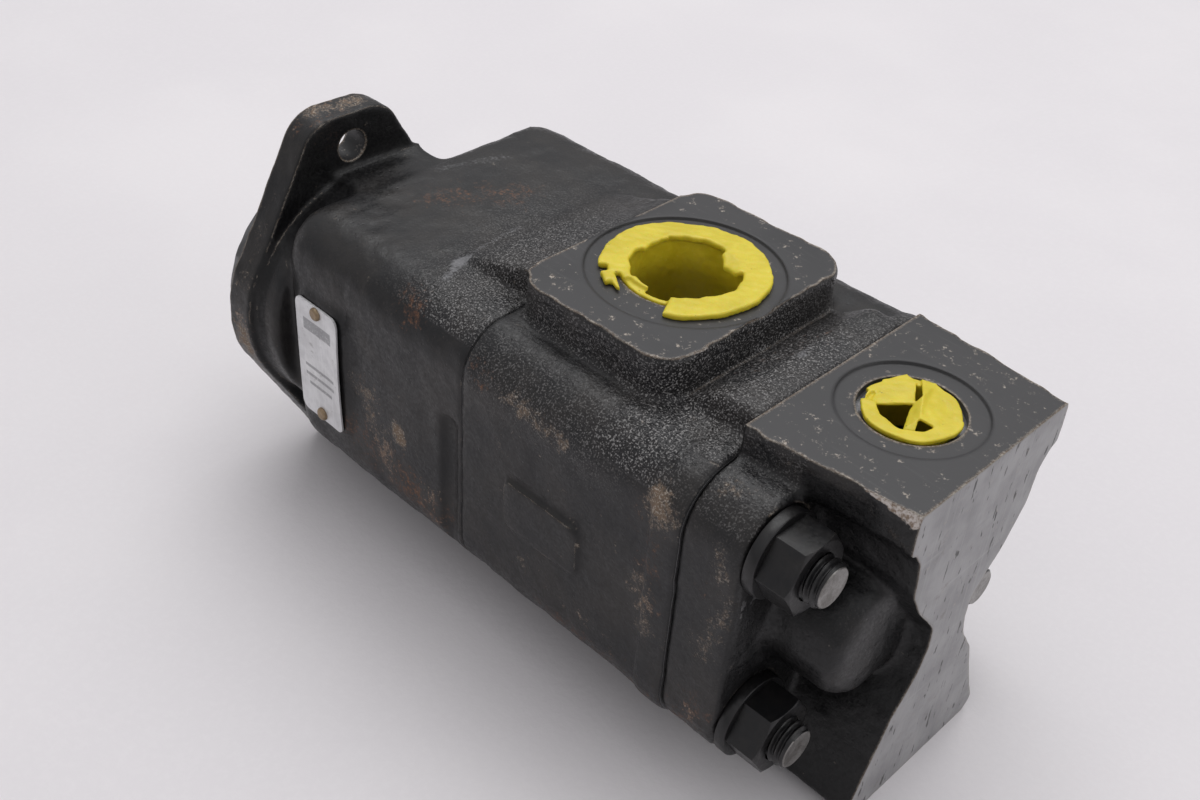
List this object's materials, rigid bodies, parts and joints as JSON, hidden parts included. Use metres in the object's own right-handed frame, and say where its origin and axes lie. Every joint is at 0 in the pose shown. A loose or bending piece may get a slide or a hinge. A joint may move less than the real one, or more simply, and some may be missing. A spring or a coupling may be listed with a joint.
{
  "type": "hydraulic gear pump",
  "caption": "Cast-iron external gear pump with two gear sections in line, a two-bolt pilot flange, a splined input shaft, and an inlet and an outlet port on top.",
  "frame": {"origin": "centre of the mounting-flange face, on the input-shaft axis", "axes": "+X from the flange to the rear cover, along the input shaft; +Y from the drive gears to the driven gears; +Z out of the port faces"},
  "size_m": [0.2825, 0.1275, 0.13],
  "materials": {
    "painted_casting": "satin black paint over sand-cast grey iron, worn and lightly rusted",
    "black_steel": "black oxide",
    "bright_steel": "ground",
    "spring_steel": "dark spring steel",
    "block_alloy": "machined",
    "bush_bronze": "machined bronze",
    "yellow_plastic": "soft moulded polyethylene",
    "plate_alloy": "dull, scratched",
    "rivet_brass": "dull",
    "seal_rubber": "matt"
  },
  "bodies": {
    "casing": {"centre_housing": "painted_casting", "front_dowel_pins": "bright_steel", "front_housing": "painted_casting", "front_section_front_bearing_block": "block_alloy", "front_section_front_block_seal": "seal_rubber", "front_section_front_drive_bush": "bush_bronze", "front_section_front_driven_bush": "bush_bronze", "front_section_rear_bearing_block": "block_alloy", "front_section_rear_block_seal": "seal_rubber", "front_section_rear_drive_bush": "bush_bronze", "front_section_rear_driven_bush": "bush_bronze", "front_section_seal": "seal_rubber", "inlet_plug": "yellow_plastic", "nameplate": "plate_alloy", "nameplate_rivets": "rivet_brass", "outlet_plug": "yellow_plastic", "rear_cover": "painted_casting", "rear_dowel_pins": "bright_steel", "rear_section_front_bearing_block": "block_alloy", "rear_section_front_block_seal": "seal_rubber", "rear_section_front_drive_bush": "bush_bronze", "rear_section_front_driven_bush": "bush_bronze", "rear_section_rear_bearing_block": "block_alloy", "rear_section_rear_block_seal": "seal_rubber", "rear_section_rear_drive_bush": "bush_bronze", "rear_section_rear_driven_bush": "bush_bronze", "rear_section_seal": "seal_rubber", "seal_retaining_ring": "spring_steel", "seal_spring": "spring_steel", "shaft_seal": "seal_rubber", "stud_nuts": "black_steel", "stud_washers": "black_steel", "tie_studs": "black_steel"},
    "drive_train": {"drive_shaft": "bright_steel", "spline_coupling": "bright_steel", "rear_drive_gear": "bright_steel"},
    "front_driven": {"front_driven_gear": "bright_steel"},
    "rear_driven": {"rear_driven_gear": "bright_steel"}
  },
  "joints": [
    {"name": "drive_spin", "type": "hinge", "parent": "casing", "child": "drive_train", "pos_m": [0.076, 0, 0], "axis": [1, 0, 0], "continuous": true},
    {"name": "front_driven_spin", "type": "hinge", "parent": "casing", "child": "front_driven", "pos_m": [0.076, 0.044, 0], "axis": [1, 0, 0], "continuous": true},
    {"name": "rear_driven_spin", "type": "hinge", "parent": "casing", "child": "rear_driven", "pos_m": [0.161, 0.044, 0], "axis": [1, 0, 0], "continuous": true}
  ],
  "couplings": [
    {"joint": "front_driven_spin", "follows": "drive_spin", "ratio": -1},
    {"joint": "rear_driven_spin", "follows": "drive_spin", "ratio": -1}
  ]
}
